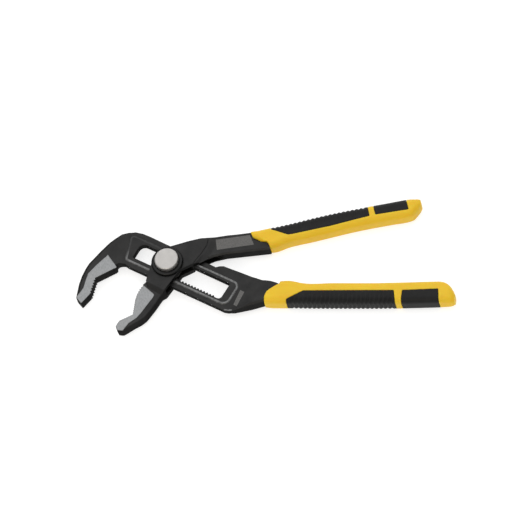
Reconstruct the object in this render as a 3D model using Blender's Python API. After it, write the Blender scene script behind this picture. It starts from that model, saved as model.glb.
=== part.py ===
"""Push-button tongue and groove pliers, lying on their back.

The origin is on the pivot axis, in the plane that the pliers rest on.  +X runs along the
lower handle, +Y points to the upper handle and +Z is up, along the pivot axis.
Outlines are in millimetres in the plane of the tool; heights are measured from its
mid-plane.  mm() turns both into metres.
"""
import math

import bmesh
import bpy
from mathutils import Matrix, Vector

# ---------------------------------------------------------------- driving dimensions, mm
MID = 6.5              # height of the mid-plane above the resting plane
GAP = 0.3              # clearance between neighbouring pieces
FORGING = 4.1          # half thickness of jaws, web and handles
BAR = 2.4              # half thickness of the slotted bar
RAMP = 8.0             # length of the slopes between the bar and the thicker forging
WINDOW = BAR + GAP     # half height of the window in the swing lever
CHEEK = 6.0            # half thickness over the two cheeks

SLOT_ANGLE = -26.0     # direction of the slot
SLOT_TOP = 6.1         # distance from the slot's centre line to its plain edge
SLOT_LEFT = -24.5
SLOT_RIGHT = 44.5
PLAIN_EDGE = -5.6      # lower edge of the slot where it has no teeth
RAIL = 12.7            # distance from the centre line to the bar's outer edges
PITCH = 2.37           # rack pitch
TOOTH_TIP = -6.0
TOOTH_ROOT = -7.2
FIRST_GAP = -3         # rack gaps are numbered from the one under the pivot at rest
LAST_GAP = 16

CLOSING = 9.0          # degrees that the swing lever can close from rest
OPENING = 21.0         # degrees that it can open
SWEEP = RAIL + 0.5     # half width of the window's swept bands
STOP_SWEEP = 17.3      # the same on the handle side, where the bar's shoulder enters

FLANGE_R = 8.3         # rear flange of the sleeve, which turns in the rear cheek
JOURNAL_R = 9.0        # part of the collar that turns in the front cheek
COLLAR_R = 10.5
COLLAR_BORE = 8.1
TUBE_R = 5.7
STEM_R = 4.0
CAP_R = 7.9
COLLAR_TOP = 8.0
CAP_TOP = 11.2
TRAVEL = 3.6           # button travel
PAWL = (-2.2, 0.9)     # height range of the bolt's toothed pawl

TANG = 3.0             # half thickness of the tangs inside the grips
GRIP = 6.5             # half thickness of the grips
GRIP_ROUND = 4.0       # corner radius of a grip's cross-section
PAD_DEPTH = 1.6        # thickness of the soft pads
THROUGH = 9.0          # half height of the guide bodies that pass right through a piece

SLOTTED_GRIP_AXIS = ((67.8, -21.9), 0.0)
SWING_GRIP_AXIS = ((66.8, 19.2), 13.75)

# stations along a grip: distance, lower edge, upper edge, half thickness
SLOTTED_GRIP = [
    (-0.8, -7.0, 7.0, 6.1), (3.0, -7.0, 8.0, GRIP), (8.6, -7.0, 8.8, GRIP), (15.0, -7.0, 9.2, GRIP),
    (18.5, -7.1, 8.6, GRIP), (23.0, -7.2, 7.6, GRIP), (45.0, -7.4, 7.5, GRIP), (73.0, -7.4, 7.5, GRIP),
    (95.0, -7.0, 8.1, GRIP), (111.0, -6.5, 8.6, GRIP), (116.3, -6.4, 8.6, 6.4), (119.2, -6.4, 7.8, 6.2),
    (122.1, -6.5, 5.6, 5.7), (124.3, -6.3, 2.8, 4.9), (125.8, -5.4, -0.4, 3.6)]
SWING_GRIP = [
    (-12.6, 4.0, 7.7, 5.6), (-8.0, 0.0, 7.9, 6.2), (-1.2, -7.6, 7.7, GRIP), (4.6, -7.3, 7.5, GRIP),
    (10.4, -6.2, 7.5, GRIP), (16.0, -5.9, 7.6, GRIP), (26.0, -5.9, 8.0, GRIP), (42.0, -5.4, 8.3, GRIP),
    (53.0, -5.1, 8.2, GRIP), (67.0, -5.2, 7.7, GRIP), (80.0, -5.7, 7.2, GRIP), (92.4, -6.1, 6.8, GRIP),
    (96.5, -4.6, 6.6, 6.2), (99.6, -2.0, 6.3, 5.4), (101.8, 0.8, 5.3, 4.0)]

# outlines of the pads in their grip's own directions
SLOTTED_LONG_PAD = [(13.9, -12.0), (88.2, -12.0), (87.8, -5.4), (86.0, 1.1), (24.9, 0.8),
                    (13.9, -5.4)]
SLOTTED_SHORT_PAD = [(91.7, -12.0), (115.2, -12.0), (114.9, -3.6), (113.5, 2.2), (90.8, 1.1)]
SWING_LONG_PAD = [(1.75, 5.0), (11.9, -1.5), (14.6, -1.9), (39.8, -1.9), (67.3, -0.7),
                  (66.8, 12.0), (1.0, 12.0)]
SWING_SHORT_PAD = [(71.2, -0.7), (93.4, -2.1), (92.3, 12.0), (70.3, 12.0)]

# where the steel meets the front end of each grip
SLOTTED_STEEL_END = [(67.7, -28.9), (67.1, -24.4), (68.1, -21.5), (71.0, -19.2), (76.5, -15.6)]
SWING_STEEL_END = [(53.9, 23.1), (55.2, 20.2), (56.8, 17.9), (60.0, 16.6), (65.2, 16.0),
                   (66.8, 14.4), (67.6, 12.2)]


# ---------------------------------------------------------------- plane geometry helpers
def along_slot(s, n):
    """Point at distance s along the slot from the pivot and n across it."""
    angle = math.radians(SLOT_ANGLE)
    return (s * math.cos(angle) - n * math.sin(angle), s * math.sin(angle) + n * math.cos(angle))


def place(points, axis):
    """Points given in a grip's own directions, moved to its place in the tool."""
    (x0, y0), degrees = axis
    c = math.cos(math.radians(degrees))
    s = math.sin(math.radians(degrees))
    return [(x0 + x * c - y * s, y0 + x * s + y * c) for x, y in points]


def circle(radius, count=48):
    return [(radius * math.cos(math.tau * i / count), radius * math.sin(math.tau * i / count))
            for i in range(count)]


def fillet(points, radii, steps=4):
    """Closed outline with the corners named in radii {index: radius} rounded."""
    result = []
    for i, corner in enumerate(points):
        radius = radii.get(i)
        if radius is None:
            result.append(corner)
            continue
        here = Vector(corner)
        back = (Vector(points[i - 1]) - here).normalized()
        ahead = (Vector(points[(i + 1) % len(points)]) - here).normalized()
        half = back.angle(ahead) / 2
        centre = here + (back + ahead).normalized() * radius / math.sin(half)
        first = here + back * radius / math.tan(half) - centre
        last = here + ahead * radius / math.tan(half) - centre
        for k in range(steps + 1):
            spoke = first.lerp(last, k / steps).normalized() * radius
            result.append(tuple(centre + spoke))
    return result


def inset(points, distance):
    """Closed anticlockwise outline moved inwards by a distance, with mitred corners."""
    result = []
    for i, corner in enumerate(points):
        here = Vector(corner)
        arriving = (here - Vector(points[i - 1])).normalized()
        leaving = (Vector(points[(i + 1) % len(points)]) - here).normalized()
        normal = Vector((-arriving.y - leaving.y, arriving.x + leaving.x)).normalized()
        square = max(0.3, normal.dot(Vector((-arriving.y, arriving.x))))
        result.append(tuple(here + normal * distance / square))
    return result


def toothed(start, end, pitch, depth):
    """Points of a saw edge from start to end, with its teeth on the left of that direction."""
    start = Vector(start)
    end = Vector(end)
    count = max(1, round((end - start).length / pitch))
    side = Vector((start.y - end.y, end.x - start.x)).normalized() * depth
    points = []
    for k in range(count):
        points.append(tuple(start.lerp(end, k / count)))
        points.append(tuple(start.lerp(end, (k + 0.5) / count) + side))
    return points


# ---------------------------------------------------------------- solid helpers
def mm(x, y, h):
    return Vector((x, y, h + MID)) * 0.001


def material(name, colour, roughness, metallic):
    made = bpy.data.materials.new(name)
    made.use_nodes = True
    shader = made.node_tree.nodes["Principled BSDF"]
    shader.inputs["Base Color"].default_value = (*colour, 1.0)
    shader.inputs["Roughness"].default_value = roughness
    shader.inputs["Metallic"].default_value = metallic
    return made


def rings_to_object(name, rings):
    """Closed body through a list of rings with equal numbers of corners, lowest first."""
    mesh = bpy.data.meshes.new(name)
    work = bmesh.new()
    loops = [[work.verts.new(corner) for corner in ring] for ring in rings]
    for lower, upper in zip(loops, loops[1:]):
        for i in range(len(lower)):
            j = (i + 1) % len(lower)
            work.faces.new((lower[i], lower[j], upper[j], upper[i]))
    work.faces.new(reversed(loops[0]))
    work.faces.new(loops[-1])
    bmesh.ops.connect_verts_nonplanar(work, angle_limit=0.0001, faces=work.faces)
    bmesh.ops.recalc_face_normals(work, faces=work.faces)
    work.to_mesh(mesh)
    work.free()
    made = bpy.data.objects.new(name, mesh)
    bpy.context.scene.collection.objects.link(made)
    return made


def prism(name, outline, low, high):
    return rings_to_object(name, [[mm(x, y, h) for x, y in outline] for h in (low, high)])


def tapered(name, low_outline, low, high_outline, high):
    return rings_to_object(name, [[mm(x, y, low) for x, y in low_outline],
                                  [mm(x, y, high) for x, y in high_outline]])


def turned(name, profile, count=48):
    """Solid of revolution about the pivot axis from (radius, height) pairs, closed loop."""
    mesh = bpy.data.meshes.new(name)
    work = bmesh.new()
    columns = []
    for i in range(count):
        a = math.tau * i / count
        columns.append([None if r == 0 else work.verts.new(mm(r * math.cos(a), r * math.sin(a), h))
                        for r, h in profile])
    centres = {k: work.verts.new(mm(0, 0, h)) for k, (r, h) in enumerate(profile) if r == 0}
    for i in range(count):
        j = (i + 1) % count
        for k in range(len(profile)):
            m = (k + 1) % len(profile)
            if profile[k][0] == 0 and profile[m][0] == 0:
                continue
            ring = [columns[i][k] or centres[k], columns[j][k] or centres[k],
                    columns[j][m] or centres[m], columns[i][m] or centres[m]]
            work.faces.new(list(dict.fromkeys(ring)))
    bmesh.ops.recalc_face_normals(work, faces=work.faces)
    work.to_mesh(mesh)
    work.free()
    made = bpy.data.objects.new(name, mesh)
    bpy.context.scene.collection.objects.link(made)
    return made


def combine(target, other, operation):
    """Boolean of target with a guide body that isn't itself part of the tool."""
    other.hide_render = True
    other.display_type = 'WIRE'
    modifier = target.modifiers.new(operation.title(), 'BOOLEAN')
    modifier.operation = operation
    modifier.solver = 'EXACT'
    modifier.object = other
    return target


def finish(piece, look, smooth_degrees=35):
    piece.data.materials.append(look)
    piece.data.shade_smooth()
    piece.data.set_sharp_from_angle(angle=math.radians(smooth_degrees))
    return piece


# ---------------------------------------------------------------- slotted lever
def slot_outline():
    """The slot, anticlockwise: plain lower left edge, rack, right end, plain upper edge."""
    points = [(SLOT_LEFT, PLAIN_EDGE), ((FIRST_GAP - 0.75) * PITCH, PLAIN_EDGE)]
    for gap in range(FIRST_GAP, LAST_GAP + 1):
        points.append(((gap - 0.5) * PITCH, TOOTH_TIP))
        points.append((gap * PITCH, TOOTH_ROOT))
    points.append(((LAST_GAP + 0.5) * PITCH, TOOTH_TIP))
    points.append(((LAST_GAP + 0.9) * PITCH, TOOTH_ROOT + 0.2))
    rack_end = len(points)
    points += [(SLOT_RIGHT, TOOTH_ROOT + 0.2), (SLOT_RIGHT, SLOT_TOP), (SLOT_LEFT, SLOT_TOP)]
    rounded = fillet(points, {rack_end: 2.5, rack_end + 1: 1.0, rack_end + 2: 4.0})
    return [along_slot(s, n) for s, n in rounded]


def slotted_outline():
    """Anticlockwise outline of the lever with the fixed jaw, up to the end of its web."""
    jaw_back = [(-13.8, 21.1), (-19.2, 23.5), (-24.2, 24.6), (-28.6, 24.05), (-32.9, 22.4),
                (-37.2, 19.1), (-40.8, 15.9), (-45.7, 10.1), (-50.6, 3.7), (-52.9, 0.8),
                (-55.0, -3.35), (-57.1, -9.25), (-58.4, -15.1), (-58.9, -19.9), (-59.4, -25.05)]
    tip = (-55.5, -29.4)
    notch = (-47.9, -10.5)
    teeth = (toothed((-50.3, -22.6), notch, 2.2, -0.6)
             + toothed(notch, (-35.2, -3.1), 1.1, -0.25))
    throat = [(-34.2, -2.3), (-34.4, -1.3), (-34.5, -0.2), (-33.2, 0.8), (-31.5, 1.0),
              (-29.1, 0.7)]
    lower_rail = [along_slot(-24.0, -RAIL), along_slot(51.0, -RAIL), (42.9, -34.2),
                  (47.0, -33.9), (55.9, -31.0), (66.9, -27.5)]
    steel_end = [(x - GAP, y) for x, y in SLOTTED_STEEL_END[1:]]
    web_top = [(74.8, -14.4), (70.35, -12.9), (64.1, -12.0), (59.75, -9.95), (51.35, -6.45),
               (38.45, -1.3), (37.2, -0.75), (34.7, -0.75), (31.6, -1.5)]
    upper_rail = [along_slot(28.5, RAIL), along_slot(-3.0, RAIL)]
    return (jaw_back + [tip] + teeth + throat + lower_rail + steel_end + web_top + upper_rail)


def bar_zone(growth):
    """Region in which the bar is thinner than the forging, grown at its two ends."""
    left = -26.5 - growth
    right = 55.0 + growth
    return [(left, 40.0), (left - 1.0, -20.0), along_slot(right, -40.0), along_slot(right, 50.0)]


def tang_outline(axis, start, end, low, high):
    return place(fillet([(start, low), (end, low), (end, high), (start, high)],
                        {1: 2.5, 2: 2.5}), axis)


SLOTTED_TANG = (-8.0, 110.0, -4.2, 4.2)
SWING_TANG = (-12.0, 84.0, -2.8, 4.2)


def slotted_lever(look):
    lever = prism("slotted_lever", slotted_outline(), -FORGING, FORGING)
    for side in (-1, 1):
        rise = FORGING - BAR
        guide = tapered("bar_relief", bar_zone(0.0), side * BAR,
                        bar_zone(2 * RAMP), side * (BAR + 2 * rise))
        combine(lever, guide, 'DIFFERENCE')
    combine(lever, prism("slot_guide", slot_outline(), -THROUGH, THROUGH), 'DIFFERENCE')
    tang = prism("tang_guide", tang_outline(SLOTTED_GRIP_AXIS, *SLOTTED_TANG), -TANG, TANG)
    combine(lever, tang, 'UNION')
    return finish(lever, look)


# ---------------------------------------------------------------- swing lever
def swing_cheek_outline(jaw_corners, handle_corners):
    """A cheek of the box joint; its ends towards the jaw and the handle are given."""
    return ([(1.4, 12.1), (-3.5, 10.9), (-8.0, 8.0), (-10.4, 4.0), (-10.6, 0.0), (-11.4, -5.0),
             (-12.6, -10.0), (-13.2, -13.7)] + jaw_corners
            + [(6.2, -9.9), (8.8, -5.4), (12.7, -3.4), (16.5, -1.2)] + handle_corners
            + [(20.4, 17.9), (12.7, 15.9), (6.2, 13.7)])


CHEEK_TOP = swing_cheek_outline([(-9.6, -15.7), (-0.3, -20.8)],
                                [(18.5, 1.7), (22.3, 6.9), (25.6, 14.0), (26.4, 18.3)])
CHEEK_FOOT = swing_cheek_outline([(-11.3, -18.6), (-2.6, -23.6)],
                                 [(22.0, 1.0), (27.8, 5.4), (31.6, 14.6), (32.4, 19.8)])


def swing_handle_outline():
    steel_end = [(x - GAP, y) for x, y in SWING_STEEL_END]
    return [(2.0, 11.9), (6.0, 3.0), (16.0, 0.5), (21.3, 0.2), (26.5, 3.4), (30.3, 5.3),
            (38.1, 7.3), (67.3, 10.9)] + steel_end[::-1] + [
            (44.5, 21.8), (38.1, 21.1), (28.4, 19.4), (22.0, 18.05), (12.7, 15.6), (6.2, 13.3)]


def swing_jaw_outline():
    back = [(-0.6, -20.6), (-3.35, -25.1), (-6.45, -30.9), (-9.65, -36.1), (-11.75, -39.3),
            (-14.7, -42.0), (-18.85, -44.6), (-26.0, -49.8)]
    tip = [(-29.2, -49.5), (-30.8, -46.8), (-30.0, -44.7), (-28.7, -42.4)]
    curve = [(-20.3, -37.9), (-20.0, -33.2), (-19.7, -26.8), (-18.9, -22.6), (-17.4, -18.9),
             (-15.3, -15.8)]
    teeth = []
    for start, end in zip(curve, curve[1:]):
        teeth += toothed(end, start, 1.6, 0.3)[::-1]
    root = [(-15.3, -15.8), (-13.0, -13.4), (-11.0, -6.0), (-6.0, -5.0), (2.0, -12.0)]
    return (back + tip + [curve[0]] + teeth + root)[::-1]


def window_outlines():
    """Regions that the slotted bar sweeps, seen from the swing lever."""
    bands = []
    for degrees in (SLOT_ANGLE + CLOSING, SLOT_ANGLE + CLOSING / 2, SLOT_ANGLE,
                    SLOT_ANGLE - OPENING / 2, SLOT_ANGLE - OPENING):
        band = [(-40.0, -SWEEP), (70.0, -SWEEP), (70.0, SWEEP), (-40.0, SWEEP)]
        bands.append(place(band, ((0.0, 0.0), degrees)))
    shoulder = [(3.0, 0.0), (70.0, 0.0), (70.0, STOP_SWEEP), (10.0, STOP_SWEEP), (3.0, SWEEP)]
    bands.append(place(shoulder, ((0.0, 0.0), SLOT_ANGLE + CLOSING)))
    bands.append(circle(SWEEP))
    return bands


def swing_lever(look):
    foot = FORGING - 0.1
    levels = ((CHEEK_TOP, -CHEEK), (CHEEK_FOOT, -foot), (CHEEK_FOOT, foot), (CHEEK_TOP, CHEEK))
    rings = [[mm(x, y, h) for x, y in outline] for outline, h in levels]
    lever = rings_to_object("swing_lever", rings)
    for outline in (swing_handle_outline(), swing_jaw_outline()):
        combine(lever, prism("plate_guide", outline, -FORGING, FORGING), 'UNION')
    for outline in window_outlines():
        combine(lever, prism("window_guide", outline, -WINDOW, WINDOW), 'DIFFERENCE')
    tang = prism("tang_guide", tang_outline(SWING_GRIP_AXIS, *SWING_TANG), -TANG, TANG)
    combine(lever, tang, 'UNION')
    front_bore = prism("front_bore", circle(JOURNAL_R + GAP), 0.0, THROUGH)
    rear_bore = prism("rear_bore", circle(FLANGE_R + GAP), -THROUGH, 0.0)
    combine(lever, front_bore, 'DIFFERENCE')
    combine(lever, rear_bore, 'DIFFERENCE')
    return finish(lever, look)


# ---------------------------------------------------------------- pivot and push button
def keyway(name, growth, low, high):
    """Guide body for the opening that the pawl slides in."""
    half = 1.5 * PITCH + growth
    reach = 7.3
    arc = []
    for k in range(9):
        x = half * (2 * k / 8 - 1)
        arc.append((x, -math.sqrt(reach * reach - x * x)))
    outline = [along_slot(s, n) for s, n in arc + [(half, -1.0), (-half, -1.0)]]
    return prism(name, outline, low, high)


def pivot_sleeve(look):
    wall = PAWL[0] - TRAVEL - 0.2
    profile = [(0, -MID), (FLANGE_R, -MID), (FLANGE_R, -WINDOW - 0.25), (TUBE_R, -WINDOW - 0.25),
               (TUBE_R, 3.95), (5.15, 3.95), (5.15, 4.75), (TUBE_R, 4.75), (TUBE_R, 5.0),
               (STEM_R + GAP, 5.0), (STEM_R + GAP, wall), (0, wall)]
    sleeve = turned("pivot_sleeve", profile)
    combine(sleeve, keyway("keyway_guide", GAP, wall, PAWL[1] + GAP), 'DIFFERENCE')
    return finish(sleeve, look)


def pivot_collar(look):
    edge = 0.9
    profile = [(TUBE_R + GAP, WINDOW + 0.2), (JOURNAL_R, WINDOW + 0.2), (JOURNAL_R, CHEEK + GAP),
               (COLLAR_R - 0.2, CHEEK + GAP), (COLLAR_R, CHEEK + 0.5), (COLLAR_R, COLLAR_TOP - edge),
               (COLLAR_R - 0.25, COLLAR_TOP - 0.35), (COLLAR_R - edge, COLLAR_TOP),
               (COLLAR_BORE + 0.3, COLLAR_TOP), (COLLAR_BORE, COLLAR_TOP - 0.3),
               (COLLAR_BORE, 3.65), (TUBE_R + GAP, 3.65)]
    return finish(turned("pivot_collar", profile), look)


def retaining_ring(look):
    """Open snap ring in the groove of the sleeve."""
    outline = []
    gap_angle = math.radians(24)
    span = math.tau - gap_angle
    for radius, order in ((6.3, 1), (5.45, -1)):
        arc = [gap_angle / 2 + span * k / 30 for k in range(31)][::order]
        outline += [(radius * math.cos(a), radius * math.sin(a)) for a in arc]
    return finish(prism("retaining_ring", outline, 4.0, 4.5), look)


def locking_bolt(look):
    low, high = PAWL
    neck = 3.0
    profile = [(0, low), (STEM_R, low), (STEM_R, 8.85), (neck, 8.85), (neck, 9.9), (0, 9.9)]
    bolt = turned("locking_bolt", profile, 32)
    relief = GAP * math.sqrt(2)
    points = [(-1.5 * PITCH, TOOTH_TIP + relief)]
    for k in (-1, 0, 1):
        points.append((k * PITCH, TOOTH_ROOT + relief))
        points.append(((k + 0.5) * PITCH, TOOTH_TIP + relief))
    points += [(1.5 * PITCH, -1.5), (-1.5 * PITCH, -1.5)]
    pawl = prism("pawl_guide", [along_slot(s, n) for s, n in points], low, high)
    combine(bolt, pawl, 'UNION')
    return finish(bolt, look)


def button_cap(look):
    rim = 0.8
    profile = [(0, 10.2), (3.3, 10.2), (3.3, 9.2), (7.3, 9.2), (7.3, COLLAR_TOP - GAP),
               (CAP_R, COLLAR_TOP - GAP), (CAP_R, CAP_TOP - rim)]
    for k in range(1, 5):
        a = math.radians(90 * k / 4)
        profile.append((CAP_R - rim + rim * math.cos(a), CAP_TOP - rim + rim * math.sin(a)))
    profile.append((0, CAP_TOP + 0.05))
    return finish(turned("button_cap", profile), look)


SPRING_LOW = 4.0       # heights of the lower and upper end of the spring
SPRING_HIGH = 8.85
SPRING_R = 6.95
SPRING_WIRE = 0.25     # radius of its wire
SPRING_TURNS = 2.25


def button_spring(look):
    rings = []
    steps = round(SPRING_TURNS * 20)
    low = SPRING_LOW + SPRING_WIRE
    high = SPRING_HIGH - SPRING_WIRE
    for i in range(steps + 1):
        turn = math.tau * SPRING_TURNS * i / steps
        height = low + (high - low) * i / steps
        ring = []
        for k in range(6):
            a = math.tau * k / 6
            r = SPRING_R + SPRING_WIRE * math.cos(a)
            ring.append(mm(r * math.cos(turn), r * math.sin(turn), height + SPRING_WIRE * math.sin(a)))
        rings.append(ring)
    return finish(rings_to_object("button_spring", rings), look)


# ---------------------------------------------------------------- grips
def section(station, axis, depth):
    """Rounded cross-section of a grip, at one station, shrunk by depth all round."""
    distance, low, high, half = station
    low += depth
    high -= depth
    half -= depth
    radius = min(GRIP_ROUND - depth, half - 0.4, (high - low) / 2 - 0.4)
    corners = [(high - radius, half - radius, 0), (low + radius, half - radius, 90),
               (low + radius, radius - half, 180), (high - radius, radius - half, 270)]
    ring = []
    for across, height, start in corners:
        for k in range(4):
            a = math.radians(start + 30 * k)
            (x, y), = place([(distance, across + radius * math.cos(a))], axis)
            ring.append(mm(x, y, height + radius * math.sin(a)))
    return ring


def grip_body(name, stations, axis, depth=0.0):
    return rings_to_object(name, [section(station, axis, depth) for station in stations])


def pad_core(stations, axis, depth):
    """Body that the pads lie on, which reaches past both ends of the grip."""
    core = [station for station in stations if min(station[2] - station[1], station[3]) > 5.5]
    return grip_body("pad_core", core, axis, depth)


def grip(prefix, stations, axis, steel_side, tang, pads, shell_look, pad_look):
    """Moulded shell with two soft pads let into it; returns the three pieces."""
    shell = grip_body(prefix + "_grip_shell", stations, axis)
    combine(shell, prism("steel_side", steel_side, -THROUGH, THROUGH), 'DIFFERENCE')
    start, end, low, high = tang
    pocket = place([(start, low - GAP), (end + GAP, low - GAP), (end + GAP, high + GAP),
                    (start, high + GAP)], axis)
    combine(shell, prism("tang_pocket", pocket, -TANG - GAP, TANG + GAP), 'DIFFERENCE')
    pieces = [finish(shell, shell_look)]
    for label, outline in pads:
        recess = prism("pad_recess", place(outline, axis), -THROUGH, THROUGH)
        combine(recess, pad_core(stations, axis, PAD_DEPTH + GAP), 'DIFFERENCE')
        combine(shell, recess, 'DIFFERENCE')
        pad = grip_body(prefix + "_grip_" + label + "_pad", stations, axis)
        trim = prism("pad_trim", place(inset(outline, GAP), axis), -THROUGH, THROUGH)
        combine(pad, trim, 'INTERSECT')
        combine(pad, pad_core(stations, axis, PAD_DEPTH), 'DIFFERENCE')
        pieces.append(finish(pad, pad_look))
    return pieces


def slotted_grip(shell_look, pad_look):
    steel_side = [(50.0, -40.0)] + [(67.7, -40.0)] + SLOTTED_STEEL_END + [(76.5, 0.0), (50.0, 0.0)]
    pads = [("long", SLOTTED_LONG_PAD), ("short", SLOTTED_SHORT_PAD)]
    return grip("slotted", SLOTTED_GRIP, SLOTTED_GRIP_AXIS, steel_side, SLOTTED_TANG, pads,
                shell_look, pad_look)


def swing_grip(shell_look, pad_look):
    steel_side = [(53.4, 40.0), (40.0, 40.0), (40.0, 0.0), (67.9, 0.0)] + SWING_STEEL_END[::-1]
    pads = [("long", SWING_LONG_PAD), ("short", SWING_SHORT_PAD)]
    return grip("swing", SWING_GRIP, SWING_GRIP_AXIS, steel_side, SWING_TANG, pads,
                shell_look, pad_look)


# ---------------------------------------------------------------- assembly
def hold_on(name, location, pieces):
    """Parent the pieces of one moving group to an empty on its joint axis."""
    handle = bpy.data.objects.new(name, None)
    handle.location = location
    bpy.context.scene.collection.objects.link(handle)
    for piece in pieces:
        piece.parent = handle
        piece.matrix_parent_inverse = Matrix.Translation(-Vector(location))
    return handle


def build():
    for old in list(bpy.data.objects):
        bpy.data.objects.remove(old, do_unlink=True)
    black_steel = material("black_steel", (0.035, 0.036, 0.038), 0.42, 0.6)
    ring_steel = material("ring_steel", (0.02, 0.02, 0.022), 0.35, 0.7)
    bright_steel = material("bright_steel", (0.56, 0.54, 0.50), 0.28, 1.0)
    spring_steel = material("spring_steel", (0.40, 0.41, 0.42), 0.30, 1.0)
    yellow = material("yellow_plastic", (0.79, 0.55, 0.035), 0.38, 0.0)
    black_rubber = material("black_rubber", (0.022, 0.022, 0.023), 0.62, 0.0)

    slotted_lever(black_steel)
    slotted_grip(yellow, black_rubber)
    swing = [swing_lever(black_steel)] + swing_grip(yellow, black_rubber)
    hold_on("swing_axis", (0.0, 0.0, 0.0), swing)
    pivot = [pivot_sleeve(bright_steel), pivot_collar(ring_steel), retaining_ring(spring_steel),
             button_spring(spring_steel)]
    hold_on("pivot_axis", (0.0, 0.0, 0.0), pivot)
    button = [locking_bolt(bright_steel), button_cap(bright_steel)]
    hold_on("button_axis", (0.0, 0.0, 0.0), button)


build()
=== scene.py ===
"""Looks of the push-button tongue and groove pliers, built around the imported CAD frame.

Outlines are in millimetres in the plane of the tool, with the pivot axis at the origin, and
heights are measured from the tool's mid-plane.  mm() turns both into metres in the row frame.
"""
import math

import bmesh
import bpy
import numpy as np
from mathutils import Matrix, Vector


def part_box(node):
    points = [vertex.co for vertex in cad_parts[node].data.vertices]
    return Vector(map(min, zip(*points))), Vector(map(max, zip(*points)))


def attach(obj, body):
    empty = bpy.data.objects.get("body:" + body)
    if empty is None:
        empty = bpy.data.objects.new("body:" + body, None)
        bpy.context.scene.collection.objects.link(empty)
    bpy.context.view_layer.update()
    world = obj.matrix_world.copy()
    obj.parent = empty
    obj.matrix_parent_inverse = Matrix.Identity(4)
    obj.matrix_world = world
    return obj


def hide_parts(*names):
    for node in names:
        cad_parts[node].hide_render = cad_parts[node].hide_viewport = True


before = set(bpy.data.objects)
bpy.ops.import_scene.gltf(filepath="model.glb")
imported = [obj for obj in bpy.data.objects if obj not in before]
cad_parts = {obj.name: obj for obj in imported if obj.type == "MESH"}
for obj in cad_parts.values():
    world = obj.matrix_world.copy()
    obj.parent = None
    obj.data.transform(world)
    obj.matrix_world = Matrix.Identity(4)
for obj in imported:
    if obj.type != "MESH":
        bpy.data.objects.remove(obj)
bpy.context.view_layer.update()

# ---------------------------------------------------------------- dimensions taken from the frame
LEVER_LOW, LEVER_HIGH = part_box("swing_lever")
MID_Z = (LEVER_LOW[2] + LEVER_HIGH[2]) / 2
CHEEK = (LEVER_HIGH[2] - LEVER_LOW[2]) * 500
SLOTTED_LOW, SLOTTED_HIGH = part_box("slotted_lever")
FORGING = (SLOTTED_HIGH[2] - SLOTTED_LOW[2]) * 500
CAP_LOW, CAP_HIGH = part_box("button_cap")
CAP_R = (CAP_HIGH[0] - CAP_LOW[0]) * 500
CAP_TOP = (CAP_HIGH[2] - MID_Z) * 1000
COLLAR_LOW, COLLAR_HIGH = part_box("pivot_collar")
COLLAR_R = (COLLAR_HIGH[0] - COLLAR_LOW[0]) * 500
COLLAR_TOP = (COLLAR_HIGH[2] - MID_Z) * 1000

# ---------------------------------------------------------------- other dimensions, mm
BAR = 2.4               # half thickness of the raised land around the slot
GROOVE = 1.95           # half thickness of the bar beside the land
RAMP = 8.0              # length of the slopes between the bar and the thicker forging
SLOT_ANGLE = -26.0
THROUGH = 9.0           # half height of guides that cut right through a piece
FACE_DEPTH = 1.0        # how far below a forging's face a surface still counts as that face
GRIND = 0.3             # depth of the ground faces of the jaws
CHEEK_DROP = 0.55       # step down from the cheek to the handle

GRIP_ROUND = 4.0        # radius of a grip's rounded edges
LEAST_FLAT = 0.4        # half of the flat that is left between two of them, where a grip is thin
FLAT_STEP = 0.8         # spacing of a section's points on its flats
CORNER_STEPS = 8
PAD_DEPTH = 1.6
RECESS_GAP = 0.3        # how much deeper a recess is than its pad
PAD_GAP = 0.12          # gap between a pad's rim and its shell
PAD_CORE_LEAST = 5.5    # a pad is hollow where its grip is wider and thicker than this
RIB_PITCH = 2.97
RIB_DEPTH = 0.85
RIB_ON_FACE = 0.75      # share of the depth that a rib has on the pad's front and back
RIB_FADE_START = -1.5   # where a rib starts on those faces, from the grip's axis
RIB_FADE = 9.0          # distance over which it would reach its full depth
RIB_END = 2.0           # length over which the ribs fade at the ends of a pad
TANG_HALF = 3.3         # half thickness of the pocket for the tang
SHELL_REACH = 0.35      # how far the swing grip's shell reaches over the gap to the steel

# the land stands on the bar like a low ridge with sloping sides
LAND_LEFT, LAND_LEFT_TOP, LAND_RIGHT = -27.5, -33.5, 50.2
LAND_LOW, LAND_HIGH = -8.8, 8.5
LAND_FOOT, LAND_FOOT_DROP = 0.9, 0.2     # its sides spread this far out, this far below the bar
LAND_HEAD, LAND_HEAD_RISE = 0.5, 2.6     # and this far in, this far above it
HIGHLIGHT_OUT, HIGHLIGHT_IN = 0.9, 0.7         # width of its painted highlight, on either side of its outline

# voxel sizes of the remeshed pieces, and spacings of the sections of a grip
LEVER_VOXEL, PAD_VOXEL, SHELL_VOXEL = 0.17, 0.24, 0.34
SHELL_STEP, PAD_STEP, CORE_STEP = 1.5, 0.36, 4.0
RING_POINTS = 72

SLOTTED_GRIP_AXIS = ((67.8, -21.9), 0.0)
SWING_GRIP_AXIS = ((66.8, 19.2), 13.75)

# pockets for the tangs: start, end, lower and upper edge
SLOTTED_TANG = (-8.0, 110.3, -4.5, 4.5)
SWING_TANG = (-12.0, 84.3, -3.1, 4.5)

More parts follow.
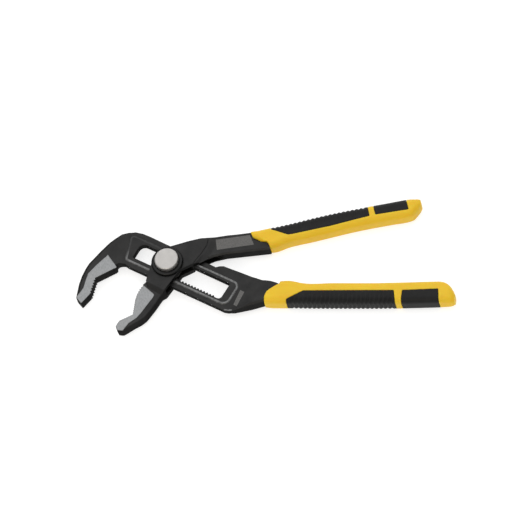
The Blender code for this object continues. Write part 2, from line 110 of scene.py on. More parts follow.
# stations along a grip: distance, lower edge, upper edge, half thickness
SLOTTED_GRIP = [
    (-1.5, -7.3, 6.9, 5.3), (0.6, -7.4, 7.5, 5.9), (3.0, -7.5, 8.2, 6.3), (8.6, -7.5, 9.0, 6.5),
    (15.0, -7.5, 9.4, 6.5), (18.5, -7.6, 8.8, 6.5), (23.0, -7.7, 7.8, 6.5), (45.0, -7.9, 7.7, 6.5),
    (73.0, -7.9, 7.7, 6.5), (95.0, -7.4, 8.3, 6.5), (111.0, -6.9, 8.8, 6.5), (116.3, -6.7, 8.8, 6.4),
    (119.2, -6.6, 8.0, 6.2), (122.1, -6.6, 5.8, 5.7), (124.3, -6.4, 2.9, 4.9), (125.8, -5.4, -0.4, 3.6)]
SWING_GRIP = [
    (-12.6, 4.0, 7.7, 4.9), (-8.0, 0.0, 7.9, 5.5), (-1.2, -7.6, 7.7, 6.1), (4.6, -7.3, 7.5, 6.5),
    (10.4, -6.2, 7.5, 6.5), (16.0, -5.9, 7.6, 6.5), (26.0, -5.9, 8.0, 6.5), (42.0, -5.4, 8.3, 6.5),
    (53.0, -5.1, 8.2, 6.5), (67.0, -5.2, 7.7, 6.5), (80.0, -5.7, 7.2, 6.5), (92.4, -6.1, 6.8, 6.5),
    (95.5, -5.6, 6.6, 6.3), (98.0, -3.6, 6.3, 5.8), (100.3, -1.6, 6.0, 5.1), (101.9, 0.9, 5.2, 4.0)]

SLOTTED_LONG_PAD = [(13.9, -12.0), (86.7, -12.0), (86.4, -5.4), (85.3, 1.1), (24.9, 0.8),
                    (13.9, -5.4)]
SLOTTED_SHORT_PAD = [(90.4, -12.0), (115.8, -12.0), (115.4, -3.6), (114.8, 2.2), (90.8, 1.1)]
SWING_LONG_PAD = [(1.75, 5.0), (11.9, -1.5), (14.6, -1.9), (39.8, -1.9), (67.3, -0.7),
                  (66.8, 12.0), (1.0, 12.0)]
SWING_SHORT_PAD = [(71.2, -0.7), (93.4, -2.1), (92.3, 12.0), (70.3, 12.0)]
SLOTTED_STEEL_END = [(66.9, -30.5), (66.9, -24.4), (68.1, -21.5), (71.0, -19.2), (76.5, -15.6)]
SWING_STEEL_END = [(53.9, 23.1), (55.2, 20.2), (56.8, 17.9), (60.0, 16.6), (65.2, 16.0),
                   (66.8, 14.4), (67.6, 12.2)]

# ground faces of the two jaws
UPPER_JAW_FACE = [(-40.8, 6.6), (-42.6, 4.7), (-47.9, -1.0), (-52.9, -7.4), (-53.9, -11.6),
                  (-55.0, -17.9), (-57.6, -22.6), (-61.0, -26.0), (-55.5, -33.0), (-47.0, -22.6),
                  (-46.0, -11.5), (-33.5, -3.4)]
LOWER_JAW_FACE = [(-16.5, -14.7), (-20.3, -17.5), (-22.0, -37.0), (-33.0, -43.0), (-33.0, -52.0),
                  (-26.6, -51.5), (-24.2, -47.4), (-22.1, -44.2), (-17.4, -40.5), (-14.7, -36.8),
                  (-7.4, -24.7), (-7.1, -23.4), (-7.4, -22.6)]

# bevelled edges
JAW_BACK = [(-8.0, 18.6), (-13.8, 21.1), (-19.2, 23.5), (-24.2, 24.6), (-28.6, 24.05), (-32.9, 22.4),
            (-37.2, 19.1), (-40.8, 15.9), (-45.7, 10.1), (-50.6, 3.7), (-52.9, 0.8), (-55.0, -3.35),
            (-57.1, -9.25), (-58.4, -15.1), (-58.9, -19.9), (-59.6, -27.0)]
WEB_BOTTOM = [(36.0, -31.7), (40.3, -33.8), (42.9, -34.2), (47.0, -33.9), (55.9, -31.0), (66.9, -27.5)]
HANDLE_BOTTOM = [(26.5, 3.4), (30.3, 5.3), (38.1, 7.3), (67.3, 10.9)]

# rows of teeth: start, end, pitch, and how far the edge stands outside the line between them
# in the middle of each pitch and at its ends
UPPER_TEETH = [((-50.3, -22.6), (-47.9, -10.5), 2.2, 0.65, -0.45),
               ((-47.9, -10.5), (-35.2, -3.1), 1.1, 0.3, -0.2)]
LOWER_TEETH = [((-20.0, -33.2), (-20.3, -37.9), 1.6, -0.75, 0.1),
               ((-19.7, -26.8), (-20.0, -33.2), 1.6, -0.75, 0.1),
               ((-18.9, -22.6), (-19.7, -26.8), 1.6, -0.75, 0.1),
               ((-17.4, -18.9), (-18.9, -22.6), 1.6, -0.75, 0.1),
               ((-15.3, -15.8), (-17.4, -18.9), 1.6, -0.75, 0.1)]
RACK_PITCH = 2.37
RACK_START = -3 * RACK_PITCH
RACK_END = 16 * RACK_PITCH
RACK_LINE = -6.0                         # the rack's line, from the slot's axis
RACK_MIDDLE, RACK_ENDS = 0.1, -1.45      # its crests and roots, from that line

# end of the cheek towards the handle, where it drops by a small step
CHEEK_STEP = [(16.2, -3.5), (18.6, 1.9), (22.1, 6.9), (25.2, 13.0), (25.9, 20.0), (40.0, 20.0),
              (40.0, -6.0)]

# painted highlight on the bevelled corner at the bottom of the web
HIGHLIGHT_CORNER = [(40.2, -32.8), (42.9, -33.2), (45.6, -33.0), (45.6, -36.0), (40.2, -36.0)]

# plain etched patches that stand in for the markings of such a tool
NAME_PATCH = [(30.5, 17.8), (53.0, 21.3), (56.4, 14.2), (31.9, 10.2)]
TYPE_PATCH = [(49.8, -18.6), (52.8, -20.1), (48.6, -30.9), (46.2, -29.5)]


# ---------------------------------------------------------------- plane geometry
def mm(x, y, h):
    """Point in the row frame, from millimetres in the plane of the tool and above its mid-plane."""
    return Vector((x * 0.001, y * 0.001, h * 0.001 + MID_Z))


def along_slot(s, n):
    """Point at a distance s along the slot's axis and n across it."""
    angle = math.radians(SLOT_ANGLE)
    return (s * math.cos(angle) - n * math.sin(angle), s * math.sin(angle) + n * math.cos(angle))


def place(points, axis):
    """Points given along and across a grip's axis, which is its start and its angle."""
    (x0, y0), degrees = axis
    c = math.cos(math.radians(degrees))
    s = math.sin(math.radians(degrees))
    return [(x0 + x * c - y * s, y0 + x * s + y * c) for x, y in points]


def fillet(points, radii, steps=8):
    """Closed outline with the corners named in radii {index: radius} rounded."""
    result = []
    for i, corner in enumerate(points):
        radius = radii.get(i)
        if radius is None:
            result.append(corner)
            continue
        here = Vector(corner)
        back = (Vector(points[i - 1]) - here).normalized()
        ahead = (Vector(points[(i + 1) % len(points)]) - here).normalized()
        half = back.angle(ahead) / 2
        centre = here + (back + ahead).normalized() * radius / math.sin(half)
        first = here + back * radius / math.tan(half) - centre
        last = here + ahead * radius / math.tan(half) - centre
        for k in range(steps + 1):
            spoke = first.lerp(last, k / steps).normalized() * radius
            result.append(tuple(centre + spoke))
    return result


def inset(points, distance):
    """Closed anticlockwise outline moved inwards by a distance, with mitred corners."""
    result = []
    for i, corner in enumerate(points):
        here = Vector(corner)
        arriving = (here - Vector(points[i - 1])).normalized()
        leaving = (Vector(points[(i + 1) % len(points)]) - here).normalized()
        normal = Vector((-arriving.y - leaving.y, arriving.x + leaving.x)).normalized()
        square = max(0.3, normal.dot(Vector((-arriving.y, arriving.x))))
        result.append(tuple(here + normal * distance / square))
    return result


def comb(start, end, pitch, middle, ends):
    """Outline that cuts teeth into an edge that has the steel on its left.

    The cut edge zigzags: it stands the distance middle outside the line in the middle of each
    pitch, and the distance ends outside it between two pitches.
    """
    start = Vector(start)
    end = Vector(end)
    count = max(1, round((end - start).length / pitch))
    out = Vector((end.y - start.y, start.x - end.x)).normalized()
    points = []
    for k in range(count):
        points.append(tuple(start.lerp(end, k / count) + out * ends))
        points.append(tuple(start.lerp(end, (k + 0.5) / count) + out * middle))
    points.append(tuple(end + out * ends))
    return points + [tuple(end + out * (middle + 1.0)), tuple(start + out * (middle + 1.0))]


def inside(xy, outline):
    """Boolean array: which points lie inside a closed outline."""
    x, y = xy[:, 0], xy[:, 1]
    result = np.zeros(len(xy), bool)
    for (x1, y1), (x2, y2) in zip(outline, outline[1:] + outline[:1]):
        if y1 == y2:
            continue
        crossing = (y1 > y) != (y2 > y)
        result ^= crossing & (x < (x2 - x1) * (y - y1) / (y2 - y1) + x1)
    return result


# ---------------------------------------------------------------- mesh helpers
def new_object(name, mesh):
    made = bpy.data.objects.new(name, mesh)
    bpy.context.scene.collection.objects.link(made)
    return made


def mesh_from(name, work):
    bmesh.ops.recalc_face_normals(work, faces=work.faces)
    mesh = bpy.data.meshes.new(name)
    work.to_mesh(mesh)
    work.free()
    return new_object(name, mesh)


def rings_to_object(name, rings):
    """Closed solid through rings of equally many points."""
    work = bmesh.new()
    loops = [[work.verts.new(corner) for corner in ring] for ring in rings]
    for lower, upper in zip(loops, loops[1:]):
        for i in range(len(lower)):
            j = (i + 1) % len(lower)
            work.faces.new((lower[i], lower[j], upper[j], upper[i]))
    work.faces.new(reversed(loops[0]))
    work.faces.new(loops[-1])
    return mesh_from(name, work)


def prism(name, outline, low, high):
    """Solid with the same outline from one height to the other."""
    return rings_to_object(name, [[mm(x, y, h) for x, y in outline] for h in (low, high)])


def tapered(name, low_outline, low, high_outline, high):
    return rings_to_object(name, [[mm(x, y, low) for x, y in low_outline],
                                  [mm(x, y, high) for x, y in high_outline]])


def turned(name, profile, count=128):
    """Solid of revolution about the pivot axis from (radius, height) pairs, closed loop."""
    work = bmesh.new()
    columns = []
    for i in range(count):
        a = math.tau * i / count
        columns.append([None if r == 0 else work.verts.new(mm(r * math.cos(a), r * math.sin(a), h))
                        for r, h in profile])
    centres = {k: work.verts.new(mm(0, 0, h)) for k, (r, h) in enumerate(profile) if r == 0}
    for i in range(count):
        j = (i + 1) % count
        for k in range(len(profile)):
            m = (k + 1) % len(profile)
            if profile[k][0] == 0 and profile[m][0] == 0:
                continue
            ring = [columns[i][k] or centres[k], columns[j][k] or centres[k],
                    columns[j][m] or centres[m], columns[i][m] or centres[m]]
            work.faces.new(list(dict.fromkeys(ring)))
    return mesh_from(name, work)


def settle(piece):
    """Replaces a piece's mesh by its evaluated one and drops its modifiers."""
    graph = bpy.context.evaluated_depsgraph_get()
    mesh = bpy.data.meshes.new_from_object(piece.evaluated_get(graph))
    piece.modifiers.clear()
    piece.data = mesh
    mesh.name = piece.name
    return piece


def combine(target, guide, operation):
    """Boolean of target with a guide object, which is used up."""
    modifier = target.modifiers.new(operation.title(), 'BOOLEAN')
    modifier.operation = operation
    modifier.solver = 'EXACT'
    modifier.object = guide
    settle(target)
    bpy.data.objects.remove(guide, do_unlink=True)
    return target


def soften(piece, voxel, passes):
    """Rounds all edges a little, by a voxel remesh and smoothing."""
    remesh = piece.modifiers.new("Remesh", 'REMESH')
    remesh.mode = 'VOXEL'
    remesh.voxel_size = voxel * 0.001
    smooth = piece.modifiers.new("Smooth", 'SMOOTH')
    smooth.factor = 0.5
    smooth.iterations = passes
    settle(piece)
    piece.data.shade_smooth()
    return piece


def copy_of(node, name):
    """New object with a CAD node's shape, welded and with its flat faces joined."""
    work = bmesh.new()
    work.from_mesh(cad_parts[node].data)
    bmesh.ops.remove_doubles(work, verts=work.verts, dist=2e-6)
    bmesh.ops.dissolve_limit(work, angle_limit=math.radians(0.5), verts=work.verts,
                             edges=work.edges)
    made = mesh_from(name, work)
    made.data.materials.clear()
    return made


# places of the other materials after a lever's black steel, the last of them a painted highlight on
# ridges, and how squarely a painted face must look up or down
GROUND, ETCHED, PAINTED_HIGHLIGHT = 1, 2, 3
FACING = 0.6


def paint(piece, *looks):
    piece.data.materials.clear()
    for look in looks:
        piece.data.materials.append(look)


def paint_region(piece, outline, slot_index, least_height, without=None):
    """Gives the faces inside an outline another material, on the front and back.

    Only faces further than least_height from the mid-plane count, and none inside without.
    """
    mesh = piece.data
    count = len(mesh.polygons)
    centres = np.empty(count * 3)
    mesh.polygons.foreach_get("center", centres)
    centres = centres.reshape(count, 3) * 1000
    normals = np.empty(count * 3)
    mesh.polygons.foreach_get("normal", normals)
    normals = normals.reshape(count, 3)
    heights = np.abs(centres[:, 2] - MID_Z * 1000)
    chosen = inside(centres[:, :2], outline) & (heights > least_height)
    chosen &= np.abs(normals[:, 2]) > FACING
    if without:
        chosen &= ~inside(centres[:, :2], without)
    indices = np.zeros(count, dtype=np.int32)
    mesh.polygons.foreach_get("material_index", indices)
    indices[chosen] = slot_index
    mesh.polygons.foreach_set("material_index", indices)


# ---------------------------------------------------------------- materials
class Look:
    """A Principled material with a short way to add texture nodes."""

    def __init__(self, name, roughness, metallic=0.0, **sockets):
        self.material = bpy.data.materials.new(name)
        self.material.use_nodes = True
        self.nodes = self.material.node_tree.nodes
        self.links = self.material.node_tree.links
        self.shader = self.nodes["Principled BSDF"]
        self.shader.inputs["Roughness"].default_value = roughness
        self.shader.inputs["Metallic"].default_value = metallic
        for socket, value in sockets.items():
            self.shader.inputs[socket.replace("_", " ")].default_value = value
        self.coordinates = self.nodes.new("ShaderNodeTexCoord").outputs["Object"]

    def link(self, output, node, socket):
        self.links.new(output, node.inputs[socket])

    def noise(self, size, detail=4.0, stretch=(1.0, 1.0, 1.0), turn=(0.0, 0.0, 0.0)):
        """Noise whose features are about size millimetres across."""
        mapping = self.nodes.new("ShaderNodeMapping")
        mapping.inputs["Scale"].default_value = stretch
        mapping.inputs["Rotation"].default_value = turn
        self.link(self.coordinates, mapping, "Vector")
        texture = self.nodes.new("ShaderNodeTexNoise")
        texture.inputs["Scale"].default_value = 1000.0 / size
        texture.inputs["Detail"].default_value = detail
        self.link(mapping.outputs["Vector"], texture, "Vector")
        return texture.outputs["Fac"]

    def ramp(self, factor, stops):
        node = self.nodes.new("ShaderNodeValToRGB")
        elements = node.color_ramp.elements
        while len(elements) < len(stops):
            elements.new(0.5)
        for element, (position, colour) in zip(elements, stops):
            element.position = position
            element.color = colour if len(colour) == 4 else (*colour, 1.0)
        self.link(factor, node, "Fac")
        return node.outputs["Color"]

    def mix(self, factor, first, second):
        node = self.nodes.new("ShaderNodeMix")
        node.data_type = 'RGBA'
        self.link(factor, node, "Factor")
        self.links.new(first, node.inputs[6])
        self.links.new(second, node.inputs[7])
        return node.outputs[2]

    def colour(self, output):
        self.link(output, self.shader, "Base Color")

    def vary_roughness(self, factor, low, high):
        node = self.nodes.new("ShaderNodeMapRange")
        node.inputs["To Min"].default_value = low
        node.inputs["To Max"].default_value = high
        self.link(factor, node, "Value")
        self.link(node.outputs["Result"], self.shader, "Roughness")

    def bump(self, *layers):
        """Bump layers of (height, depth in millimetres), each on top of the one before."""
        normal = None
        for height, depth in layers:
            node = self.nodes.new("ShaderNodeBump")
            node.inputs["Strength"].default_value = 1.0
            node.inputs["Distance"].default_value = depth * 0.001
            self.link(height, node, "Height")
            if normal is not None:
                self.link(normal, node, "Normal")
            normal = node.outputs["Normal"]
        self.link(normal, self.shader, "Normal")

    def below(self, start, end):
        """0 above start and 1 below end, in metres along the row's Y."""
        split = self.nodes.new("ShaderNodeSeparateXYZ")
        self.link(self.coordinates, split, "Vector")
        node = self.nodes.new("ShaderNodeMapRange")
        node.inputs["From Min"].default_value = start
        node.inputs["From Max"].default_value = end
        self.link(split.outputs["Y"], node, "Value")
        return node.outputs["Result"]

    def edges(self, low, high):
        """0 in hollows and on flats, 1 on worn edges."""
        geometry = self.nodes.new("ShaderNodeNewGeometry")
        node = self.nodes.new("ShaderNodeMapRange")
        node.inputs["From Min"].default_value = low
        node.inputs["From Max"].default_value = high
        self.link(geometry.outputs["Pointiness"], node, "Value")
        return node.outputs["Result"]


def grey(value, warm=0.0):
    return (value * (1 + warm), value, value * (1 - warm))


def black_steel():
    """Blackened steel, satin, with paler worn edges."""
    look = Look("black_steel", 0.45, 1.0, Specular_Tint=(0.35, 0.35, 0.35, 1.0))
    patches = look.ramp(look.noise(9.0, 3.0), [(0.3, grey(0.027)), (0.7, grey(0.036, 0.01))])
    worn = look.ramp(look.noise(1.2, 4.0), [(0.35, grey(0.05)), (0.7, grey(0.11))])
    look.colour(look.mix(look.edges(0.53, 0.62), patches, worn))
    look.vary_roughness(look.noise(2.0, 5.0), 0.40, 0.54)
    look.bump((look.noise(2.6, 4.0), 0.04), (look.noise(0.5, 3.0), 0.015))
    return look.material


def ground_steel():
    """Bare ground steel with a fine dull grain."""
    look = Look("ground_steel", 0.45, 0.8)
    grain = look.noise(0.7, 6.0, stretch=(1.0, 0.5, 1.0), turn=(0.0, 0.0, math.radians(35)))
    look.colour(look.ramp(grain, [(0.3, grey(0.225, -0.02)), (0.7, grey(0.305, -0.02))]))
    look.vary_roughness(grain, 0.40, 0.55)
    look.bump((grain, 0.010))
    return look.material


def painted_highlight_steel():
    """Painted highlight for the ridges: a paler steel, dimmest on the upper side of the head."""
    look = Look("painted_highlight_steel", 0.42, 1.0, Specular_Tint=(0.35, 0.35, 0.35, 1.0))
    bright_highlight = look.ramp(look.noise(1.6, 4.0), [(0.3, grey(0.085)), (0.7, grey(0.18))])
    dim_highlight = look.ramp(look.noise(3.0, 3.0), [(0.3, grey(0.038)), (0.7, grey(0.052))])
    # painted highlight, dimmer towards the upper side of the head and brighter towards the lower side
    look.colour(look.mix(look.below(0.012, 0.004), dim_highlight, bright_highlight))
    look.bump((look.noise(0.6, 3.0), 0.015))
    return look.material


def etched_steel():
    """Plain grey etched patch."""
    look = Look("etched_steel", 0.6, 0.3)
    grain = look.noise(0.6, 3.0)
    look.colour(look.ramp(grain, [(0.3, grey(0.075, 0.02)), (0.7, grey(0.12, 0.03))]))
    look.bump((grain, 0.01))
    return look.material


def collar_steel():
    """Blackened steel, smoother than that of the levers."""
    look = Look("collar_steel", 0.36, 1.0, Specular_Tint=(0.35, 0.35, 0.35, 1.0))
    look.colour(look.ramp(look.noise(4.0, 4.0), [(0.3, grey(0.020)), (0.7, grey(0.030))]))
    look.vary_roughness(look.noise(0.6, 4.0), 0.30, 0.46)
    look.bump((look.noise(0.4, 3.0), 0.008))
    return look.material


def turned_steel():
    """Bright steel faced on a lathe: fine circles around the pivot axis."""
    look = Look("turned_steel", 0.34, 0.85)
    wave = look.nodes.new("ShaderNodeTexWave")
    wave.wave_type = 'RINGS'
    wave.rings_direction = 'Z'
    wave.inputs["Scale"].default_value = 900.0
    wave.inputs["Distortion"].default_value = 1.5
    wave.inputs["Detail"].default_value = 3.0
    look.link(look.coordinates, wave, "Vector")
    shade = [(0.3, grey(0.36, 0.03)), (0.7, grey(0.41, 0.035))]
    look.colour(look.ramp(look.noise(5.0, 4.0), shade))
    look.vary_roughness(wave.outputs["Fac"], 0.30, 0.42)
    look.bump((wave.outputs["Fac"], 0.002), (look.noise(0.6, 3.0), 0.004))
    return look.material


def wire_steel():
    """Bright drawn wire."""
    look = Look("wire_steel", 0.32, 1.0)
    look.colour(look.ramp(look.noise(1.0, 4.0), [(0.3, grey(0.34)), (0.7, grey(0.46))]))
    look.bump((look.noise(0.3, 3.0), 0.004))
    return look.material


def yellow_plastic():
    """Moulded plastic with a fine spark-eroded grain."""
    look = Look("yellow_plastic", 0.42, Specular_IOR_Level=0.25, Subsurface_Weight=0.3,
                Subsurface_Scale=0.004)
    look.shader.inputs["Subsurface Radius"].default_value = (1.0, 0.35, 0.08)
    look.colour(look.ramp(look.noise(14.0, 3.0), [(0.3, (0.71, 0.455, 0.016)),
                                                  (0.7, (0.75, 0.49, 0.019))]))
    look.vary_roughness(look.noise(1.5, 4.0), 0.38, 0.50)
    look.bump((look.noise(0.35, 3.0), 0.012), (look.noise(6.0, 2.0), 0.02))
    return look.material


def black_rubber():
    """Soft rubber: matte, with a fine grain and slightly paler rubbed edges."""
    look = Look("black_rubber", 0.5, Specular_IOR_Level=0.18)
    base = look.ramp(look.noise(5.0, 4.0), [(0.3, grey(0.005)), (0.7, grey(0.008))])
    wear_and_highlight = look.ramp(look.noise(0.8, 3.0), [(0.3, grey(0.020)), (0.7, grey(0.034))])
    look.colour(look.mix(look.edges(0.52, 0.60), base, wear_and_highlight))
    look.vary_roughness(look.noise(1.2, 4.0), 0.40, 0.55)
    look.bump((look.noise(0.45, 3.0), 0.02))
    return look.material


# ---------------------------------------------------------------- levers
def land_outline():
    """Raised band around the slot."""
    corners = [along_slot(LAND_LEFT, LAND_LOW), along_slot(LAND_RIGHT, LAND_LOW),
               along_slot(LAND_RIGHT, LAND_HIGH), along_slot(LAND_LEFT_TOP, LAND_HIGH)]
    return fillet(corners, {0: 1.5, 1: 4.5, 2: 4.0, 3: 2.0})


def bar_zone(growth):
    """Region in which the bar is thinner than the forging, grown at its two ends."""
    left = -26.5 - growth
    right = 55.0 + growth
    return [(left, 40.0), (left - 1.0, -20.0), along_slot(right, -40.0), along_slot(right, 50.0)]


def edge_cut(lever, path, width, depth):
    """Bevels an edge: path runs along it with the steel on its left, front and back alike."""
    slope = depth / width
    for side in (-1, 1):
        rings = []
        for i, point in enumerate(path):
            here = Vector(point)
            ahead = Vector(path[min(i + 1, len(path) - 1)])
            behind = Vector(path[max(i - 1, 0)])
            along = (ahead - behind).normalized()
            out = Vector((along.y, -along.x))
            rings.append([mm(*(here + out), side * (FORGING - depth - slope)),
                          mm(*(here + out), side * (FORGING + 1.0)),
                          mm(*(here - out * (width + 1.0 / slope)), side * (FORGING + 1.0))])
        combine(lever, rings_to_object("bevel_guide", rings), 'DIFFERENCE')


def slotted_lever(steel, ground, etched, wear_and_highlight):
    lever = copy_of("slotted_lever", "slotted_lever_forging")
    for side in (-1, 1):
        rise = FORGING - BAR
        guide = tapered("groove_guide", bar_zone(0.0), side * GROOVE,
                        bar_zone(2 * RAMP), side * (GROOVE + 2 * rise))
        land = tapered("land_guide",
                       inset(land_outline(), -LAND_FOOT), side * (GROOVE - LAND_FOOT_DROP),
                       inset(land_outline(), LAND_HEAD), side * (GROOVE + LAND_HEAD_RISE))
        combine(guide, land, 'DIFFERENCE')
        combine(lever, guide, 'DIFFERENCE')
        face = prism("face_guide", UPPER_JAW_FACE, side * (FORGING - GRIND), side * THROUGH)
        combine(lever, face, 'DIFFERENCE')
    edge_cut(lever, JAW_BACK, 1.7, 0.9)
    edge_cut(lever, WEB_BOTTOM, 1.3, 1.1)
    for teeth in UPPER_TEETH:
        combine(lever, prism("comb_guide", comb(*teeth), -THROUGH, THROUGH), 'DIFFERENCE')
    rack = comb(along_slot(RACK_END, RACK_LINE), along_slot(RACK_START, RACK_LINE), RACK_PITCH,
                RACK_MIDDLE, RACK_ENDS)
    combine(lever, prism("rack_guide", rack, -THROUGH, THROUGH), 'DIFFERENCE')
    soften(lever, LEVER_VOXEL, 2)
    paint(lever, steel, ground, etched, wear_and_highlight)
    # painted highlight along the sides of the land and on the bevelled corner of the web
    paint_region(lever, inset(land_outline(), -HIGHLIGHT_OUT), PAINTED_HIGHLIGHT, GROOVE + 0.05,
                 inset(land_outline(), HIGHLIGHT_IN))
    paint_region(lever, HIGHLIGHT_CORNER, PAINTED_HIGHLIGHT, GROOVE - FACE_DEPTH)
    paint_region(lever, UPPER_JAW_FACE, GROUND, FORGING - FACE_DEPTH)
    paint_region(lever, TYPE_PATCH, ETCHED, BAR - FACE_DEPTH)
    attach(lever, "slotted_half")
    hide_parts("slotted_lever")


def swing_lever(steel, ground, etched, wear_and_highlight):
    lever = copy_of("swing_lever", "swing_lever_forging")
    for side in (-1, 1):
        face = prism("face_guide", LOWER_JAW_FACE, side * (FORGING - GRIND), side * THROUGH)
        combine(lever, face, 'DIFFERENCE')
        step = prism("step_guide", CHEEK_STEP, side * (CHEEK - CHEEK_DROP), side * THROUGH)
        combine(lever, step, 'DIFFERENCE')
    edge_cut(lever, HANDLE_BOTTOM, 1.2, 0.8)
    for teeth in LOWER_TEETH:
        combine(lever, prism("comb_guide", comb(*teeth), -THROUGH, THROUGH), 'DIFFERENCE')
    soften(lever, LEVER_VOXEL, 2)
    paint(lever, steel, ground, etched, wear_and_highlight)
    paint_region(lever, LOWER_JAW_FACE, GROUND, FORGING - FACE_DEPTH)
    paint_region(lever, NAME_PATCH, ETCHED, FORGING - FACE_DEPTH)
    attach(lever, "swing_half")
    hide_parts("swing_lever")


# ---------------------------------------------------------------- pivot
def pivot_collar(steel):
    """Cup with a wider lip, and a hole in its floor for the sleeve."""
    hole, hub, mouth = 6.0, 9.0, CAP_R + 0.2
    foot, floor, lip = 2.9, 3.65, 6.3
    profile = [(hole, foot), (hub, foot), (hub, lip), (COLLAR_R, lip), (COLLAR_R, COLLAR_TOP),
               (mouth, COLLAR_TOP), (mouth, floor), (hole, floor)]
    collar = turned("collar_ring", fillet(profile, {1: 0.3, 3: 0.2, 4: 0.95, 5: 0.35}))
    collar.data.shade_smooth()
    paint(collar, steel)
    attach(collar, "pivot_unit")
    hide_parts("pivot_collar")


def button_cap(steel):
    """Slightly domed cap with a skirt, and a socket for the head of the bolt."""
    socket_r, skirt_r = 3.3, 7.3
    socket, underside, skirt = 10.2, 9.2, 7.7
    profile = [(0, socket), (socket_r, socket), (socket_r, underside), (skirt_r, underside),
               (skirt_r, skirt), (CAP_R, skirt), (CAP_R, CAP_TOP - 0.08),
               (CAP_R * 0.6, CAP_TOP - 0.02), (0, CAP_TOP)]
    cap = turned("button_face", fillet(profile, {5: 0.2, 6: 0.85}))
    cap.data.shade_smooth()
    paint(cap, steel)
    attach(cap, "push_button")
    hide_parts("button_cap")


# ---------------------------------------------------------------- grips
def interpolated(stations, step):
    """Stations every step millimetres on a smooth curve through the given ones.

    No value passes the largest or the smallest one given.
    """
    knots = np.array(stations)
    least, most = knots[:, 1:].min(axis=0), knots[:, 1:].max(axis=0)
    distances = np.arange(knots[0, 0], knots[-1, 0], step)
    distances = np.append(distances, knots[-1, 0])
    slopes = np.gradient(knots[:, 1:], knots[:, 0], axis=0)
    result = []
    for d in distances:
        i = min(np.searchsorted(knots[:, 0], d, side="right") - 1, len(knots) - 2)
        span = knots[i + 1, 0] - knots[i, 0]
        u = (d - knots[i, 0]) / span
        values = ((2 * u**3 - 3 * u**2 + 1) * knots[i, 1:] + (u**3 - 2 * u**2 + u) * span * slopes[i]
                  + (3 * u**2 - 2 * u**3) * knots[i + 1, 1:] + (u**3 - u**2) * span * slopes[i + 1])
        result.append((d, *np.clip(values, least, most)))
    return result


def section(station, depth):
    """Cross-section with rounded corners, shrunk by depth.

    Its points are (across, height, and the two parts of the outward normal).
    """
    _, low, high, half = station
    low += depth
    high -= depth
    half -= depth
    radius = min(GRIP_ROUND - depth, half - LEAST_FLAT, (high - low) / 2 - LEAST_FLAT)
    corners = [(high - radius, half - radius, 0), (low + radius, half - radius, 90),
               (low + radius, radius - half, 180), (high - radius, radius - half, 270)]
    points = []
    for across, height, start in corners:
        for k in range(CORNER_STEPS + 1):
            a = math.radians(start + 90 * k / CORNER_STEPS)
            points.append((across + radius * math.cos(a), height + radius * math.sin(a),
                           math.cos(a), math.sin(a)))
    ring = []
    for here, ahead in zip(points, points[1:] + points[:1]):
        length = math.hypot(ahead[0] - here[0], ahead[1] - here[1])
        steps = max(1, round(length / FLAT_STEP))
        for k in range(steps):
            u = k / steps
            ring.append(tuple(a + (b - a) * u for a, b in zip(here, ahead)))
    return ring


def grip_body(name, stations, axis, step, depth=0.0, rib=None):
    """Solid through the stations of a grip, shrunk by depth.

    The length rib(distance, across, outwardness) is cut away along the normal.
    """
    rings = []
    for station in interpolated(stations, step):
        distance = station[0]
        ring = section(station, depth)
        closed = np.array(ring + ring[:1])
        lengths = np.hypot(*np.diff(closed[:, :2], axis=0).T)
        travelled = np.concatenate([[0.0], np.cumsum(lengths)])
        marks = np.linspace(0.0, travelled[-1], RING_POINTS, endpoint=False)
        even = np.stack([np.interp(marks, travelled, closed[:, k]) for k in range(4)], axis=1)
        corners = []
        for across, height, nx, ny in even:
            cut = rib(distance, across, nx) if rib else 0.0
            (x, y), = place([(distance, across - cut * nx)], axis)
            corners.append(mm(x, y, height - cut * ny))
        rings.append(corners)
    return rings_to_object(name, rings)


def pad_core(stations, axis, depth):
    """The part of a grip that lies deeper than its pads."""
    core = [(distance, low, high, half) for distance, low, high, half in stations
            if min(high - low, half) > PAD_CORE_LEAST]
    return grip_body("pad_core", core, axis, CORE_STEP, depth)


def ribs(outer_side, start, end):
    """Rounded ribs along the outer edge of a long pad, fading across its faces."""
    def rib(distance, across, normal):
        wave = abs(math.sin(math.pi * (distance - start) / RIB_PITCH))
        outwardness = max(0.0, normal * outer_side)
        fade = (across * outer_side - RIB_FADE_START) / RIB_FADE
        reach = max(outwardness, min(RIB_ON_FACE, fade), 0.0)
        near_end = min(1.0, max(0.0, (distance - start) / RIB_END),
                       max(0.0, (end - distance) / RIB_END))
        return RIB_DEPTH * (1.0 - wave) * reach * near_end
    return rib


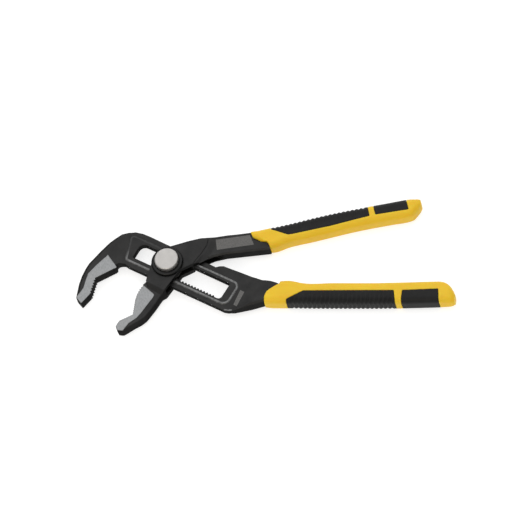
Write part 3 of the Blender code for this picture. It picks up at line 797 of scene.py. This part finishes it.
def grip(prefix, stations, axis, steel_side, tang, pads, body, shell_look, pad_look):
    """Shell and pads of one handle.

    steel_side is the region in front of the shell, tang the pocket's start, end, lower and upper
    edge, and pads has each pad's label, outline and ribs.
    """
    shell = grip_body(prefix + "_handle_shell", stations, axis, SHELL_STEP)
    combine(shell, prism("steel_side", steel_side, -THROUGH, THROUGH), 'DIFFERENCE')
    start, end, low, high = tang
    pocket = place([(start, low), (end, low), (end, high), (start, high)], axis)
    combine(shell, prism("tang_pocket", pocket, -TANG_HALF, TANG_HALF), 'DIFFERENCE')
    for label, outline, rib in pads:
        recess = prism("pad_recess", place(outline, axis), -THROUGH, THROUGH)
        combine(recess, pad_core(stations, axis, PAD_DEPTH + RECESS_GAP), 'DIFFERENCE')
        combine(shell, recess, 'DIFFERENCE')
        pad = grip_body(prefix + "_handle_" + label + "_pad", stations, axis, PAD_STEP, rib=rib)
        trim = prism("pad_trim", place(inset(outline, PAD_GAP), axis), -THROUGH, THROUGH)
        combine(pad, trim, 'INTERSECT')
        combine(pad, pad_core(stations, axis, PAD_DEPTH), 'DIFFERENCE')
        soften(pad, PAD_VOXEL, 2)
        paint(pad, pad_look)
        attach(pad, body)
        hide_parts(prefix + "_grip_" + label + "_pad")
    soften(shell, SHELL_VOXEL, 3)
    paint(shell, shell_look)
    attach(shell, body)
    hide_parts(prefix + "_grip_shell")


def grips(yellow, rubber):
    steel_side = [(50.0, -40.0), (67.7, -40.0)] + SLOTTED_STEEL_END + [(76.5, 0.0), (50.0, 0.0)]
    pads = [("long", SLOTTED_LONG_PAD, ribs(-1, 15.0, 86.4)), ("short", SLOTTED_SHORT_PAD, None)]
    grip("slotted", SLOTTED_GRIP, SLOTTED_GRIP_AXIS, steel_side, SLOTTED_TANG, pads,
         "slotted_half", yellow, rubber)
    steel_side = [(53.4, 40.0), (40.0, 40.0), (40.0, 0.0), (67.9, 0.0)]
    steel_side += [(x - SHELL_REACH, y) for x, y in SWING_STEEL_END[::-1]]
    pads = [("long", SWING_LONG_PAD, ribs(1, 1.5, 67.0)), ("short", SWING_SHORT_PAD, None)]
    grip("swing", SWING_GRIP, SWING_GRIP_AXIS, steel_side, SWING_TANG, pads,
         "swing_half", yellow, rubber)


# ---------------------------------------------------------------- stage, lights, camera
CAMERA_BACK = Vector((0.1848, -0.4646, 0.8659))
CAMERA_UP = Vector((0.0, 0.8811, 0.4728))
CAMERA_AIM = (64.3, 1.1)
CAMERA_DISTANCE = 9.0
VIEW_WIDTH = 0.3486     # width of the view at the object, in metres


def stage():
    work = bmesh.new()
    bmesh.ops.create_grid(work, x_segments=8, y_segments=8, size=2.5)
    floor = mesh_from("floor", work)
    look = Look("light_table", 0.9, Specular_IOR_Level=0.0, Emission_Strength=0.7)
    look.shader.inputs["Emission Color"].default_value = (1.0, 1.0, 1.0, 1.0)
    look.colour(look.ramp(look.noise(400.0, 2.0), [(0.3, grey(0.44)), (0.7, grey(0.46))]))
    paint(floor, look.material)


def camera():
    back = CAMERA_BACK.normalized()
    up = (CAMERA_UP - CAMERA_UP.dot(back) * back).normalized()
    right = up.cross(back)
    lens = bpy.data.cameras.new("camera")
    lens.sensor_width = 36.0
    lens.lens = lens.sensor_width * CAMERA_DISTANCE / VIEW_WIDTH
    holder = bpy.data.objects.new("camera", lens)
    bpy.context.scene.collection.objects.link(holder)
    place_at = mm(*CAMERA_AIM, 0.0) + back * CAMERA_DISTANCE
    holder.matrix_world = Matrix.Translation(place_at) @ Matrix((right, up, back)).transposed().to_4x4()
    bpy.context.scene.camera = holder


def area_light(name, position, target, size, power, tint=(1.0, 1.0, 1.0)):
    lamp = bpy.data.lights.new(name, 'AREA')
    lamp.shape = 'RECTANGLE'
    lamp.size, lamp.size_y = size
    lamp.energy = power
    lamp.color = tint
    holder = bpy.data.objects.new(name, lamp)
    holder.location = position
    holder.rotation_euler = (Vector(position) - Vector(target)).to_track_quat('Z', 'Y').to_euler()
    bpy.context.scene.collection.objects.link(holder)


def lights():
    centre = (0.06, 0.0, 0.0)
    area_light("overhead", (0.0, 0.4, 1.4), centre, (2.4, 2.4), 18.0)
    area_light("back_strip", (-0.2, 1.1, 0.45), centre, (1.2, 0.3), 2.5)
    area_light("front_strip", (-0.15, -0.95, 0.75), centre, (1.2, 0.3), 3.6, (1.0, 0.9, 0.74))
    world = bpy.data.worlds.new("studio")
    world.use_nodes = True
    world.node_tree.nodes["Background"].inputs["Color"].default_value = (1.0, 1.0, 1.0, 1.0)
    world.node_tree.nodes["Background"].inputs["Strength"].default_value = 0.5
    bpy.context.scene.world = world
    bpy.context.scene.view_settings.view_transform = 'Standard'


# ---------------------------------------------------------------- assembly
camera()
stage()
lights()
black = black_steel()
ground = ground_steel()
etched = etched_steel()
# paler steel that paints a highlight on ridges
wear_and_highlight = painted_highlight_steel()
bright = turned_steel()
wire = wire_steel()
slotted_lever(black, ground, etched, wear_and_highlight)
swing_lever(black, ground, etched, wear_and_highlight)
pivot_collar(collar_steel())
button_cap(bright)
grips(yellow_plastic(), black_rubber())
for node, look in (("pivot_sleeve", bright), ("locking_bolt", bright),
                   ("retaining_ring", wire), ("button_spring", wire)):
    paint(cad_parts[node], look)
